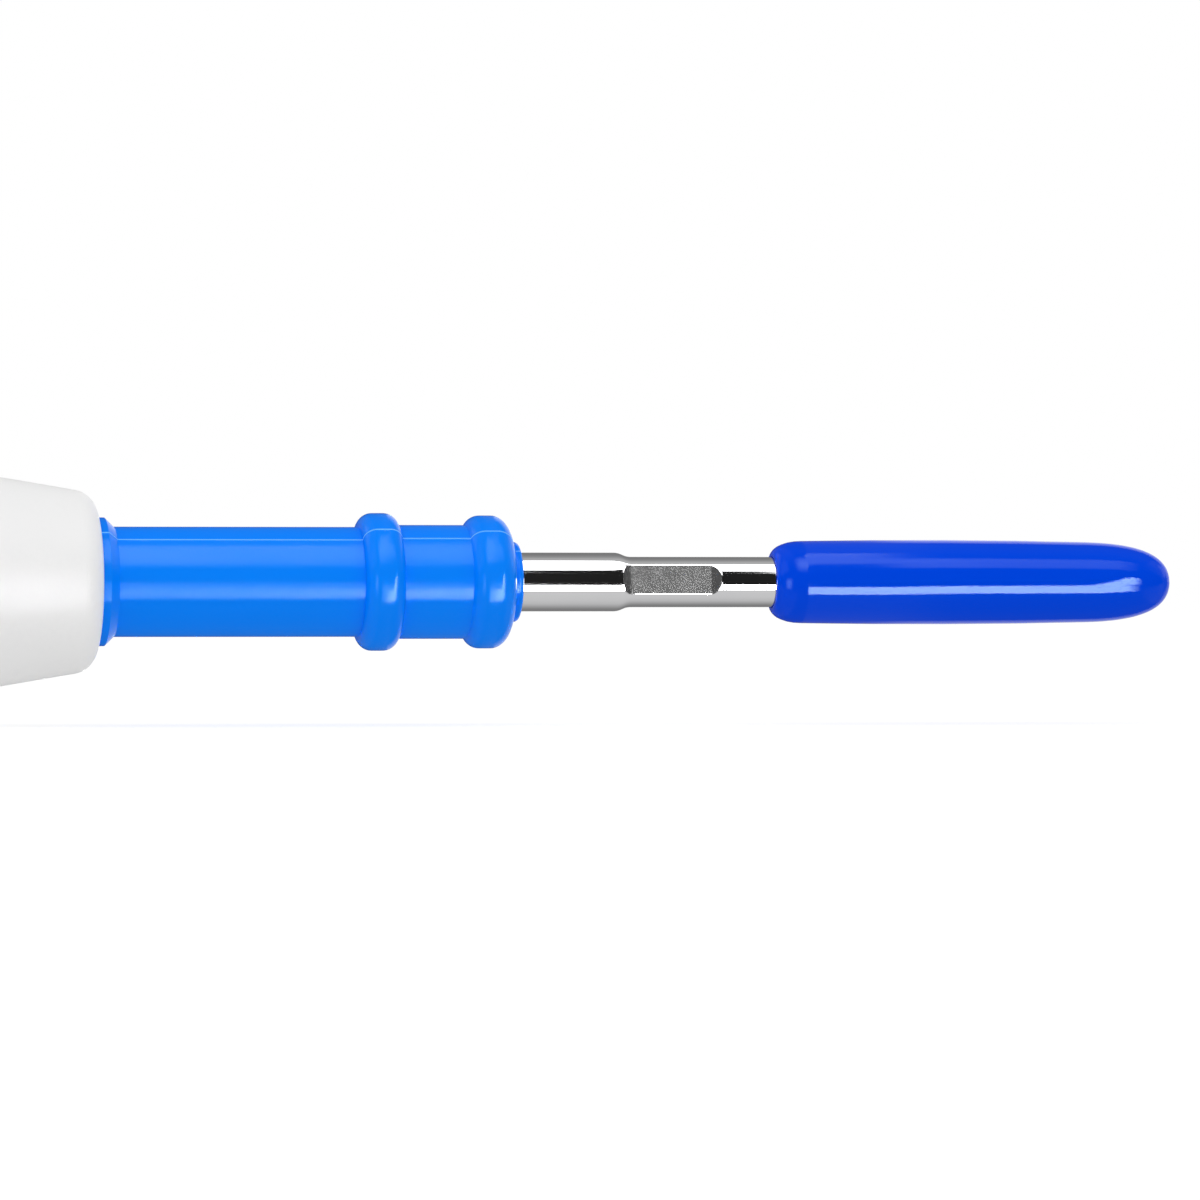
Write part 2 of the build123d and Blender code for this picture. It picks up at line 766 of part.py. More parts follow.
# Buttons: a dished and ribbed cap with a flange that holds it in, hollow round a stem
dish_radius = ((button_dish_length / 2) ** 2 + button_dish_depth**2) / (2 * button_dish_depth)
dish_floor = button_top - button_dish_depth
button_roof = dish_floor - button_wall
for name, place, ribs in (
    ("cut_button", cut_place, cut_button_ribs),
    ("coag_button", coag_place, coag_button_ribs),
):
    side_plane = Plane(origin=(nose_x - place, 0, 0), x_dir=(1, 0, 0), z_dir=(0, -1, 0))
    with BuildPart() as button:
        with BuildSketch(level_plane(flange_bottom)):
            with Locations((-place, 0)):
                RectangleRounded(
                    button_length + 2 * button_flange,
                    button_width + 2 * button_flange,
                    button_corner + button_flange,
                )
        extrude(amount=button_flange_thickness)
        with BuildSketch(level_plane(flange_bottom)):
            with Locations((-place, 0)):
                RectangleRounded(button_length, button_width, button_corner)
        extrude(amount=button_top - flange_bottom)
        fillet(edges().group_by(Axis.Z)[-1], button_edge_radius)
        with BuildSketch(side_plane):
            with Locations((0, dish_floor + dish_radius)):
                Circle(dish_radius)
        extrude(amount=button_width, both=True, mode=Mode.SUBTRACT)
        with BuildSketch(side_plane):
            with Locations((0, dish_floor + button_rib_height - button_rib_radius)):
                with GridLocations(button_rib_pitch, 1, ribs, 1):
                    Circle(button_rib_radius)
        extrude(amount=button_rib_length / 2, both=True)
        with BuildSketch(level_plane(flange_bottom)):
            with Locations((-place, 0)):
                RectangleRounded(
                    button_length - 2 * button_wall,
                    button_width - 2 * button_wall,
                    button_corner - button_wall,
                )
        extrude(amount=button_roof - flange_bottom, mode=Mode.SUBTRACT)
        with BuildSketch(level_plane(stem_bottom)):
            with Locations((-place, 0)):
                Circle(button_stem_diameter / 2)
        extrude(amount=dish_floor - button_wall / 2 - stem_bottom)
    button.part.label = name
    export_step(button.part, f"parts/{name}.step")

# Console: the raised bed round the buttons, before it joins the upper shell
with BuildPart() as console:
    with BuildSketch(level_plane(axis_height)):
        with Locations((-buttons_middle, 0)):
            RectangleRounded(console_length, console_width, console_corner)
    extrude(amount=console_top - axis_height)
    fillet(edges().group_by(Axis.Z)[-1], console_edge_radius)

# Grip grooves, as the material that they take out of the flanks
groove_middle = nose_length + groove_setback + groove_pitch * (groove_count - 1) / 2
with BuildPart() as grip_grooves:
    with BuildSketch(axis_plane):
        with Locations((-groove_middle, 0)):
            with GridLocations(groove_pitch, 1, groove_count, 1):
                SlotOverall(groove_height, groove_width, rotation=90)
    extrude(amount=grip_width, both=True)
    add(groove_form, mode=Mode.SUBTRACT)

# Both shells in one: the body with its spigots, its bores and its grooves, still solid between the end blocks
with BuildPart() as body_blank:
    add(outer_form)
    split(bisect_by=Plane.XY, keep=Keep.TOP)
    add(console.part)
    add(grip_grooves.part, mode=Mode.SUBTRACT)
    round_bar(spigot_front + moulding_gap, cavity_front, spigot_radius)
    bead(snap_place, spigot_radius)
    round_bar(cavity_rear, tail_spigot_rear, tail_spigot_radius)
    round_bar(spigot_front, spigot_bore_rear, spigot_bore_radius, mode=Mode.SUBTRACT)
    round_bar(spigot_bore_rear, cavity_front + seat_gap, socket_radius + seat_gap, mode=Mode.SUBTRACT)
    round_bar(
        collar_front - seat_gap,
        collar_rear + seat_gap,
        socket_collar_radius + seat_gap,
        mode=Mode.SUBTRACT,
    )
    round_bar(cavity_rear - seat_gap, handle_length, tail_bore_radius, mode=Mode.SUBTRACT)
    round_bar(
        gland_front - moulding_gap,
        gland_front + gland_flange_width + moulding_gap,
        gland_flange_radius + moulding_gap,
        mode=Mode.SUBTRACT,
    )

# The room inside the body, between its end blocks
body_top = button_top + wall
with BuildPart() as cavity:
    add(inner_form)
    slab(cavity_front, cavity_rear, 0, body_top, mode=Mode.INTERSECT)

# Lower shell: ledges and pins for the board, posts with sockets, ribs for the cord, and a tongue at its edge
lower_edge = axis_height - moulding_gap
board_seat = board_bottom - bonded_gap
rib_step = (rear_posts - middle_posts) / (rib_count + 1)
rib_places = [middle_posts + rib_step * (number + 1) for number in range(rib_count)]
ledge_middle = board_width / 2 - board_ledge_overlap + grip_width / 2
with BuildPart() as lower_room:
    add(cavity.part)
    for rib_place in rib_places:
        slab(rib_place - rib_width / 2, rib_place + rib_width / 2, 0, lower_edge, mode=Mode.SUBTRACT)
    round_bar(middle_posts, rear_posts, cord_bore_radius + moulding_gap)
    with BuildSketch(level_plane(0)):
        with Locations((-board_middle, -ledge_middle), (-board_middle, ledge_middle)):
            Rectangle(board_length - 2 * board_corner, grip_width)
    extrude(amount=board_seat, mode=Mode.SUBTRACT)
    for post_place in (front_posts, middle_posts, rear_posts):
        uprights(post_place, post_spread, post_diameter, 0, lower_edge, mode=Mode.SUBTRACT)
    uprights(board_pins_place, board_pin_spread, board_boss_diameter, 0, board_seat, mode=Mode.SUBTRACT)
    uprights(board_pins_place, board_pin_spread, board_pin_diameter, 0, lower_edge, mode=Mode.SUBTRACT)
with BuildPart() as tongue_core:
    add(tongue_form)
    slab(cavity_front, cavity_rear, 0, axis_height + tongue_height, mode=Mode.INTERSECT)
with BuildPart() as above_lower_edge:
    slab(0, handle_length, lower_edge, body_top)
    add(tongue_core.part, mode=Mode.SUBTRACT)
with BuildPart() as lower_shell:
    add(body_blank.part)
    add(above_lower_edge.part, mode=Mode.SUBTRACT)
    add(lower_room.part, mode=Mode.SUBTRACT)
    for post_place in (front_posts, middle_posts, rear_posts):
        uprights(
            post_place,
            post_spread,
            post_pin_diameter + 2 * moulding_gap,
            lower_edge - post_pin_length,
            axis_height,
            mode=Mode.SUBTRACT,
        )
lower_shell.part.label = "lower_shell"
export_step(lower_shell.part, "parts/lower_shell.step")

# Upper shell: windows and chutes for the buttons, posts with pins, ribs for the cord, a recess at its edge
with BuildPart() as upper_room:
    add(cavity.part)
    for rib_place in rib_places:
        slab(rib_place - rib_width / 2, rib_place + rib_width / 2, axis_height, body_top, mode=Mode.SUBTRACT)
    round_bar(middle_posts, rear_posts, cord_bore_radius + moulding_gap)
    with BuildSketch(level_plane(axis_height)):
        with Locations((-buttons_middle, 0)):
            Rectangle(chute_block_length, chute_block_width)
    extrude(amount=body_top - axis_height, mode=Mode.SUBTRACT)
    for post_place in (front_posts, middle_posts, rear_posts):
        uprights(post_place, post_spread, post_diameter, axis_height, body_top, mode=Mode.SUBTRACT)
with BuildPart() as edge_recess:
    add(recess_form)
    slab(
        cavity_front - moulding_gap,
        cavity_rear + moulding_gap,
        0,
        axis_height + tongue_height + moulding_gap,
        mode=Mode.INTERSECT,
    )
    add(liner_form, mode=Mode.SUBTRACT)
with BuildPart() as upper_shell:
    add(body_blank.part)
    slab(0, handle_length, 0, axis_height, mode=Mode.SUBTRACT)
    add(upper_room.part, mode=Mode.SUBTRACT)
    add(edge_recess.part, mode=Mode.SUBTRACT)
    with BuildSketch(level_plane(axis_height)):
        with Locations((-cut_place, 0), (-coag_place, 0)):
            RectangleRounded(chute_length, chute_width, button_corner + chute_margin)
    extrude(amount=chute_ceiling - axis_height, mode=Mode.SUBTRACT)
    with BuildSketch(level_plane(axis_height)):
        with Locations((-cut_place, 0), (-coag_place, 0)):
            RectangleRounded(
                button_length + 2 * button_gap,
                button_width + 2 * button_gap,
                button_corner + button_gap,
            )
    extrude(amount=body_top - axis_height, mode=Mode.SUBTRACT)
    console_bed = faces().filter_by(Plane.XY).sort_by(Axis.Z)[-1]
    chamfer(console_bed.inner_wires().edges(), window_chamfer)
    for post_place in (front_posts, middle_posts, rear_posts):
        uprights(
            post_place,
            post_spread,
            post_pin_diameter,
            axis_height - post_pin_length + seat_gap,
            axis_height,
        )
upper_shell.part.label = "upper_shell"
export_step(upper_shell.part, "parts/upper_shell.step")

# Tail collar: pushed over the shells' rear spigots
collar_start = shell_rear + moulding_gap
with BuildPart() as tail_collar:
    with BuildSketch(axis_plane):
        with BuildLine():
            Polyline(
                (-collar_start, 0),
                (-collar_start, tail_radius),
                (-handle_length, tail_radius - tail_collar_taper),
                (-handle_length, 0),
                close=True,
            )
        make_face()
    revolve(axis=pencil_axis)
    fillet(edges().filter_by(GeomType.CIRCLE).sort_by(Axis.X)[0], tail_edge_radius)
    round_bar(
        shell_rear,
        handle_length - tail_collar_end_wall,
        tail_spigot_radius + moulding_gap,
        mode=Mode.SUBTRACT,
    )
    round_bar(shell_rear, handle_length, tail_bore_radius, mode=Mode.SUBTRACT)
tail_collar.part.label = "tail_collar"
export_step(tail_collar.part, "parts/tail_collar.step")

# Cable gland: a soft bush with a flange in the shells and a lip behind the collar
with BuildPart() as cable_gland:
    round_bar(gland_front, handle_length + gland_lip, gland_radius)
    round_bar(gland_front, gland_front + gland_flange_width, gland_flange_radius)
    round_bar(handle_length + seat_gap, handle_length + gland_lip, gland_radius + gland_lip_height)
    round_bar(gland_front, handle_length + gland_lip, cord_bore_radius, mode=Mode.SUBTRACT)
    rear_mouth = edges().filter_by(GeomType.CIRCLE).group_by(Axis.X)[0].sort_by(SortBy.RADIUS)[0]
    chamfer(rear_mouth, gland_mouth_chamfer)
cable_gland.part.label = "cable_gland"
export_step(cable_gland.part, "parts/cable_gland.step")
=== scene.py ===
from math import atan2, cos, hypot, pi, radians, sin

import bmesh
import bpy
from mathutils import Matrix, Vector


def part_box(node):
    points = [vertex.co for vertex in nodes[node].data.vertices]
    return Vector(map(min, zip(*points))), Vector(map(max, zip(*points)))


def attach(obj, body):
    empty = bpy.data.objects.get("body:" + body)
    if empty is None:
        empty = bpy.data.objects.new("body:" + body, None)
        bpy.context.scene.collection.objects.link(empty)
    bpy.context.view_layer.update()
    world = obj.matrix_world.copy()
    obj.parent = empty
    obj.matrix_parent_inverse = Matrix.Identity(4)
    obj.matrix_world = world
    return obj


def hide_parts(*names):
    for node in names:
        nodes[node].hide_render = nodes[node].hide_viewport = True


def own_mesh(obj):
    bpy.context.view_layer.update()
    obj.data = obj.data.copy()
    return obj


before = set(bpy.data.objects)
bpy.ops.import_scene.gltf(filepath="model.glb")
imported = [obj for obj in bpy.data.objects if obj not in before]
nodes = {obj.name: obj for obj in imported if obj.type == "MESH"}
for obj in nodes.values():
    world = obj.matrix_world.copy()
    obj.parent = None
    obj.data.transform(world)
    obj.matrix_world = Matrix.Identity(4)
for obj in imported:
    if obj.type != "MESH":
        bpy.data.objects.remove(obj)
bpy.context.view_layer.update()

# The looks of an electrosurgical pencil: white handle, blue sleeve, steel shaft and glossy blue tip cover.
# Blender's unit is the metre, and the sizes here are written in millimetres times mm.
# Places along the pencil are counted from the front face of the nose, ahead of it as positive.

mm = 0.001
nose_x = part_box("nose_cone")[1].x
axis_z = (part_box("electrode_shaft")[0].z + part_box("electrode_shaft")[1].z) / 2

# Camera, where the photograph was taken from
camera_turn = radians(10.8)
camera_distance = 350 * mm
camera_lens = 258.8
camera_sensor = 36.0
aim_ahead = 20.62 * mm
aim_drop = 0.73 * mm

# Studio
floor_reach = 3.0
floor_grey = 0.9
floor_glow = 1.16
floor_glow_share = 0.6
key_lamp_place = (-0.25, -0.35, 0.6)
key_lamp_size = 0.5
key_lamp_power = 0.8

# Patterns in the surfaces: how large their blots, smears, grains and lines are
mould_cloud_size = 5 * mm
mould_smear_size = 0.9 * mm
mould_grain_size = 0.12 * mm
steel_cloud_size = 2 * mm
steel_line_size = 0.05 * mm
steel_line_stretch = (60, 1, 1)
blast_cloud_size = 0.6 * mm
blast_speck_size = 0.09 * mm

# Insulating sleeve
sleeve_back = 0.03 * mm
sleeve_fit = 0.01 * mm
sleeve_segments = 160
key_across_flats = 3.8 * mm
key_length = 5.0 * mm
key_chamfer = 0.35 * mm
key_corner_width = radians(4)
key_corner_share = 0.995
flange_radius = 2.585 * mm
flange_land = 0.34 * mm
flange_slope = 0.38 * mm
barrel_radius = 2.215 * mm
barrel_length = 10.64 * mm
ring_shoulder = 0.58 * mm
rear_ring_radius = 2.78 * mm
rear_ring_end = 12.26 * mm
front_barrel_radius = 2.3 * mm
front_ring_start = 15.04 * mm
front_ring_radius = 2.69 * mm
front_ring_end = 16.89 * mm
front_ring_nose = 0.8 * mm
boss_radius = 1.62 * mm
boss_edge = 0.18 * mm
sleeve_end = 17.22 * mm

# Parting line of the sleeve's mould: its points across are shares of its width
parting_turn = radians(49.2)
parting_width = 0.06 * mm
parting_height = 0.03 * mm
parting_points = (-1.1, -1, -0.9, -0.45, 0, 0.45, 0.9, 1, 1.1)
parting_clearance = 0.035
# The share of the ridge's width that gets the lighter blue, a painted highlight along the real ridge
flash_highlight_share = 0.4

# Electrode shaft
shaft_radius = 1.19 * mm
pin_length = 26.5 * mm
pin_chamfer = 0.3 * mm
neck_start = 21.13 * mm
taper_lead = 0.06 * mm
taper_end = 21.9 * mm
taper_softness = 0.03
neck_radius = 1.02 * mm
neck_end = 31.0 * mm
neck_chamfer = 0.1 * mm
tang_bore_radius = 0.569 * mm
tang_bore_depth = 5 * mm
crimp_start = 21.75 * mm
crimp_end = 25.05 * mm
crimp_reach = 1.2 * mm
crimp_depth = 0.18 * mm
crimp_rear_bevel = 0.27 * mm
crimp_front_bevel = 0.41 * mm
crimp_bevel_curve = 1.6
crimp_rounding = 0.025 * mm
crimp_turn = radians(6.5)

# Mesh of the crimp: its steps along the shaft and, in degrees, round it; what counts as pressed and as flat
fine_step = 0.025 * mm
coarse_step = 0.1 * mm
fine_lead = 0.075 * mm
fine_trail = 0.4 * mm
fine_bevel_share = 1.4
fine_side = 48
fine_turn = 1
coarse_turn = 4
crimp_side_lean = 0.3
crimp_least_wear = 0.005 * mm
# Pressed faces tilted more than this along the shaft get the darker copy of the crimp steel, a painted shade
crimp_flat_tilt = 0.12


class Recipe:
    """A node tree with short ways to add nodes and to join them."""

    def __init__(self, tree):
        self.tree = tree
        tree.nodes.clear()

    def node(self, kind, **settings):
        made = self.tree.nodes.new(kind)
        for name, value in settings.items():
            setattr(made, name, value)
        return made

    def put(self, socket, value):
        """Joins a socket to another node's output, or sets its constant."""
        if isinstance(value, bpy.types.NodeSocket):
            self.tree.links.new(value, socket)
        else:
            socket.default_value = value

    def math(self, operation, *values):
        made = self.node("ShaderNodeMath", operation=operation)
        for socket, value in zip(made.inputs, values):
            self.put(socket, value)
        return made.outputs[0]

    def ramp(self, value, low, high, start=0.0, end=1.0, smooth=True):
        """A change from start, where value is low, to end, where it is high."""
        made = self.node("ShaderNodeMapRange")
        made.interpolation_type = "SMOOTHSTEP" if smooth else "LINEAR"
        for socket, given in zip(made.inputs, (value, low, high, start, end)):
            self.put(socket, given)
        return made.outputs["Result"]

    def mix(self, factor, first, second):
        made = self.node("ShaderNodeMix", data_type="RGBA")
        self.put(made.inputs[0], factor)
        self.put(made.inputs[6], first)
        self.put(made.inputs[7], second)
        return made.outputs[2]

    def tones(self, factor, colour, darkest, lightest):
        """A colour that goes from its darker to its lighter tone with the factor."""
        return self.mix(factor, shade(colour, darkest), shade(colour, lightest))

    def uneven(self, noise, value, spread):
        """A value that noise makes lower and higher, by up to that share of it."""
        return self.ramp(noise, 0.3, 0.7, (1 - spread) * value, (1 + spread) * value)

    def noise(self, place, size, detail=3.0, roughness=0.5):
        """Noise whose blots are about size across, in metres, as a value round 0.5."""
        made = self.node("ShaderNodeTexNoise")
        self.put(made.inputs["Vector"], place)
        made.inputs["Scale"].default_value = 1 / size
        made.inputs["Detail"].default_value = detail
        made.inputs["Roughness"].default_value = roughness
        return made.outputs[0]

    def stretched(self, place, stretch):
        """A place whose pattern is drawn out by the factors along X, Y and Z."""
        made = self.node("ShaderNodeVectorMath", operation="MULTIPLY")
        self.put(made.inputs[0], place)
        made.inputs[1].default_value = tuple(1 / factor for factor in stretch)
        return made.outputs[0]

    def bump(self, height, depth):
        """Relief of that depth in metres, where height goes from 0 to 1."""
        made = self.node("ShaderNodeBump")
        made.inputs["Distance"].default_value = depth
        self.put(made.inputs["Height"], height)
        return made.outputs[0]

    def place(self):
        return self.node("ShaderNodeTexCoord").outputs["Object"]


def shade(colour, factor):
    """A colour made lighter or darker, as the four numbers of a socket."""
    return tuple(min(1.0, part * factor) for part in colour) + (1.0,)


def start_material(name):
    material = bpy.data.materials.new(name)
    material.use_nodes = True
    recipe = Recipe(material.node_tree)
    shader = recipe.node("ShaderNodeBsdfPrincipled")
    output = recipe.node("ShaderNodeOutputMaterial")
    recipe.put(output.inputs["Surface"], shader.outputs[0])
    return material, recipe, shader


def moulded(name, colour, roughness, ior, cloud=0.02, grain_depth=0.0, drag=(1, 1, 1), tint=(1, 1, 1)):
    """A moulded plastic or rubber: slight clouds in its colour, uneven gloss and the grain of its mould."""
    material, recipe, shader = start_material(name)
    place = recipe.place()
    clouds = recipe.noise(place, mould_cloud_size, detail=2.0)
    recipe.put(shader.inputs["Base Color"], recipe.tones(clouds, colour, 1 - cloud, 1 + cloud))
    smears = recipe.noise(recipe.stretched(place, drag), mould_smear_size, detail=4.0)
    recipe.put(shader.inputs["Roughness"], recipe.uneven(smears, roughness, 0.12))
    shader.inputs["IOR"].default_value = ior
    shader.inputs["Specular Tint"].default_value = (*tint, 1.0)
    if grain_depth:
        grain = recipe.noise(place, mould_grain_size)
        recipe.put(shader.inputs["Normal"], recipe.bump(grain, grain_depth))
    return material


def steel(name, colour, roughness, line_depth):
    """Drawn and polished steel or brass, with fine lines along the pencil."""
    material, recipe, shader = start_material(name)
    place = recipe.place()
    lines = recipe.noise(recipe.stretched(place, steel_line_stretch), steel_line_size, detail=4.0)
    clouds = recipe.noise(place, steel_cloud_size, detail=2.0)
    recipe.put(shader.inputs["Base Color"], recipe.tones(clouds, colour, 0.97, 1.02))
    recipe.put(shader.inputs["Roughness"], recipe.uneven(lines, roughness, 0.2))
    recipe.put(shader.inputs["Normal"], recipe.bump(lines, line_depth))
    shader.inputs["Metallic"].default_value = 1.0
    return material


def blasted(name, colour, pits=0.012 * mm, drag=(1, 1, 1)):
    """Steel left matt and speckled by the crimping jaws, or by grinding where its marks are dragged."""
    material, recipe, shader = start_material(name)
    place = recipe.place()
    specks = recipe.noise(recipe.stretched(place, drag), blast_speck_size, detail=4.0, roughness=0.65)
    clouds = recipe.noise(place, blast_cloud_size, detail=2.0)
    mottle = recipe.math("MULTIPLY", recipe.math("ADD", specks, clouds), 0.5)
    contrast = recipe.ramp(mottle, 0.36, 0.64, smooth=False)
    recipe.put(shader.inputs["Base Color"], recipe.tones(contrast, colour, 0.79, 1.21))
    recipe.put(shader.inputs["Roughness"], recipe.uneven(specks, 0.5, 0.1))
    recipe.put(shader.inputs["Normal"], recipe.bump(specks, pits))
    shader.inputs["Metallic"].default_value = 0.08
    shader.inputs["IOR"].default_value = 1.15
    return material


def softbox(recipe, along, reach, around, span, strength, edges, edge_around):
    """A lamp's bright field in the surroundings: its reach along X, and its span round X in degrees."""
    left, right = reach
    low, high = span
    sides = [
        recipe.ramp(along, left - edges[0], left + edges[0]),
        recipe.ramp(along, right - edges[1], right + edges[1], 1.0, 0.0),
        recipe.ramp(around, low - edge_around, low + edge_around),
        recipe.ramp(around, high - edge_around, high + edge_around, 1.0, 0.0),
    ]
    field = sides[0]
    for side in sides[1:]:
        field = recipe.math("MULTIPLY", field, side)
    return recipe.math("MULTIPLY", field, strength)


def window(recipe, value, first, full, last, gone):
    """1 where value is between full and last, and 0 before first and beyond gone."""
    return recipe.math("MULTIPLY", recipe.ramp(value, first, full), recipe.ramp(value, last, gone, 1.0, 0.0))


def surroundings():
    """White for the camera, a studio with soft boxes for reflections, and plain soft light for the rest."""
    world = bpy.data.worlds.new("studio")
    world.use_nodes = True
    world.cycles.sampling_method = "NONE"
    recipe = Recipe(world.node_tree)
    direction = recipe.node("ShaderNodeTexCoord").outputs["Generated"]
    split = recipe.node("ShaderNodeSeparateXYZ")
    recipe.put(split.inputs[0], direction)
    along, across, up = split.outputs
    turn = recipe.math("ARCTAN2", up, recipe.math("MULTIPLY", across, -1.0))
    around = recipe.math("MULTIPLY", turn, 180 / pi)

    # Greys of the room round the X axis: 0 is the camera's side, 90 overhead
    greys = recipe.node("ShaderNodeValToRGB")
    greys.color_ramp.interpolation = "LINEAR"
    stops = [
        (-180, 0.20),
        (-134, 0.26),
        (-117, 0.40),
        (-95, 0.62),
        (-75, 0.70),
        (-44, 0.74),
        (-34, 0.60),
        (-14, 0.018),
        (46, 0.018),
        (60, 0.30),
        (92, 0.60),
        (104, 0.50),
        (117, 0.34),
        (134, 0.25),
        (180, 0.20),
    ]
    ramp = greys.color_ramp
    while len(ramp.elements) < len(stops):
        ramp.elements.new(0.5)
    for element, (angle, grey) in zip(ramp.elements, stops):
        element.position = (angle + 180) / 360
        element.color = (grey, grey, grey, 1.0)
    recipe.put(greys.inputs[0], recipe.ramp(around, -180.0, 180.0, smooth=False))

    # The greys are full where the steel reflects them, and dim where the sleeve and the cover do
    dim_left = window(recipe, along, -0.2, -0.1, 0.172, 0.176)
    dim_right = window(recipe, along, 0.208, 0.235, 0.62, 0.74)
    dim = recipe.math("ADD", dim_left, dim_right)
    light = recipe.math("MULTIPLY", greys.outputs[0], recipe.ramp(dim, 0.0, 1.0, 1.0, 0.4))

    # Lamps: reach along X, angle round X and the span in it, strength, and half widths of the soft edges
    shifted = recipe.math("SUBTRACT", around, recipe.ramp(along, 0.205, 0.235, 0.0, 3.5))
    lifted = recipe.math("SUBTRACT", around, recipe.ramp(along, 0.26, 0.5, 0.0, 24.0, smooth=False))
    lamps = (
        # The sleeve's two bands, and the nose's
        ((0.10, 0.1735), around, (35, 81), 10.0, (0.02, 0.002), 4.0),
        ((0.10, 0.1735), around, (-35, -2), 11.0, (0.02, 0.002), 3.0),
        ((-0.12, 0.13), around, (36, 68), 9.0, (0.14, 0.04), 13.0),
        # The upper band on shaft, neck and cover
        ((0.1745, 0.19), around, (48, 91), 6.0, (0.001, 0.002), 2.0),
        ((0.188, 0.209), around, (52, 87), 6.0, (0.002, 0.003), 2.0),
        ((0.209, 0.26), around, (40, 68), 6.0, (0.003, 0.05), 4.0),
        ((0.23, 0.5), around, (40, 68), 4.2, (0.02, 0.14), 4.0),
        # The lower band on steel and cover, which climbs at the cover's round end
        ((0.1762, 0.56), shifted, (-35, -14), 50.0, (0.0025, 0.10), 1.5),
        ((0.27, 0.61), lifted, (-33, -11), 50.0, (0.02, 0.09), 3.0),
        # The pale rims of the cover
        ((0.215, 0.9), around, (136, 200), 1.2, (0.01, 0.05), 6.0),
        ((0.215, 0.9), around, (-200, -134), 0.9, (0.01, 0.05), 6.0),
        # Glints on what curves away behind and in front
        ((-0.66, -0.42), around, (-20, 8), 10.0, (0.1, 0.1), 10.0),
        ((-0.95, -0.5), around, (35, 85), 1.6, (0.05, 0.1), 6.0),
        ((-0.95, -0.5), around, (105, 150), 1.4, (0.05, 0.1), 6.0),
        ((0.78, 0.97), around, (105, 150), 1.4, (0.05, 0.02), 6.0),
    )
    for lamp in lamps:
        light = recipe.math("MAXIMUM", light, softbox(recipe, along, *lamp))

    # Plain light for matt surfaces, a little stronger from above the camera
    lean = recipe.node("ShaderNodeVectorMath", operation="DOT_PRODUCT")
    recipe.put(lean.inputs[0], direction)
    lean.inputs[1].default_value = (0, -0.8, 0.6)
    plain = recipe.ramp(lean.outputs["Value"], -1.0, 1.0, 0.70, 0.98, smooth=False)

    path = recipe.node("ShaderNodeLightPath")
    seen = recipe.math("MAXIMUM", path.outputs["Is Camera Ray"], path.outputs["Is Transmission Ray"])
    matt_or_gloss = recipe.mix(path.outputs["Is Glossy Ray"], plain, light)
    colour = recipe.mix(seen, matt_or_gloss, (1.0, 1.0, 1.0, 1.0))
    background = recipe.node("ShaderNodeBackground")
    output = recipe.node("ShaderNodeOutputWorld")
    recipe.put(background.inputs["Color"], colour)
    recipe.put(output.inputs["Surface"], background.outputs[0])
    bpy.context.scene.world = world


def add_object(name, data):
    """Puts a mesh, a lamp or a camera in the scene."""
    made = bpy.data.objects.new(name, data)
    bpy.context.scene.collection.objects.link(made)
    return made


def key_lamp():
    """A soft lamp that lights matt surfaces; reflections see the surroundings' own lamps."""
    lamp = bpy.data.lights.new("key", "AREA")
    lamp.shape = "SQUARE"
    lamp.size = key_lamp_size
    lamp.energy = key_lamp_power
    holder = add_object("key", lamp)
    towards_pencil = Vector((0, 0, axis_z)) - Vector(key_lamp_place)
    holder.location = key_lamp_place
    holder.rotation_euler = towards_pencil.to_track_quat("-Z", "Y").to_euler()
    holder.visible_glossy = False
    holder.visible_camera = False


def floor():
    """A pale floor, kept out of reflections, that glows a little and takes the pencil's shadow."""
    corners = [(x * floor_reach, y * floor_reach, 0) for x, y in ((-1, -1), (1, -1), (1, 1), (-1, 1))]
    mesh = bpy.data.meshes.new("floor")
    mesh.from_pydata(corners, [], [(0, 1, 2, 3)])
    plate = add_object("floor", mesh)
    material, recipe, shader = start_material("floor_white")
    shader.inputs["Base Color"].default_value = (floor_grey, floor_grey, floor_grey, 1.0)
    shader.inputs["Roughness"].default_value = 1.0
    shader.inputs["Specular IOR Level"].default_value = 0.0
    glow = recipe.node("ShaderNodeEmission")
    glow.inputs["Strength"].default_value = floor_glow
    blend = recipe.node("ShaderNodeMixShader")
    blend.inputs[0].default_value = floor_glow_share
    recipe.put(blend.inputs[1], shader.outputs[0])
    recipe.put(blend.inputs[2], glow.outputs[0])
    output = next(node for node in recipe.tree.nodes if node.type == "OUTPUT_MATERIAL")
    recipe.put(output.inputs["Surface"], blend.outputs[0])
    mesh.materials.append(material)
    plate.visible_glossy = False
    plate.visible_diffuse = False


def add_camera():
    data = bpy.data.cameras.new("camera")
    data.lens = camera_lens
    data.sensor_width = camera_sensor
    data.clip_start = 0.01
    data.clip_end = 10.0
    holder = add_object("camera", data)
    forward = Vector((sin(camera_turn), cos(camera_turn), 0))
    aim = Vector((nose_x + aim_ahead, 0, axis_z - aim_drop))
    holder.location = aim - camera_distance * forward
    holder.rotation_euler = forward.to_track_quat("-Z", "Y").to_euler()
    bpy.context.scene.camera = holder


def arc(centre, radius_along, radius_out, first, last, steps):
    """Points of an elliptic arc between two angles in degrees; 0 is ahead and 90 is outward."""
    angles = [radians(first + (last - first) * step / steps) for step in range(steps + 1)]
    return [(centre[0] + radius_along * cos(angle), centre[1] + radius_out * sin(angle)) for angle in angles]


def bezier(corners, steps):
    """Points of a cubic curve, given its two ends and the two pulls between them."""
    points = []
    for step in range(steps + 1):
        t = step / steps
        weights = ((1 - t) ** 3, 3 * t * (1 - t) ** 2, 3 * t * t * (1 - t), t**3)
        points.append(tuple(sum(w * corner[axis] for w, corner in zip(weights, corners)) for axis in (0, 1)))
    return points


def without_repeats(outline):
    """The outline's points, less those that repeat the one before."""
    kept = [outline[0]]
    for point in outline[1:]:
        if hypot(point[0] - kept[-1][0], point[1] - kept[-1][1]) > 1e-7:
            kept.append(point)
    return kept


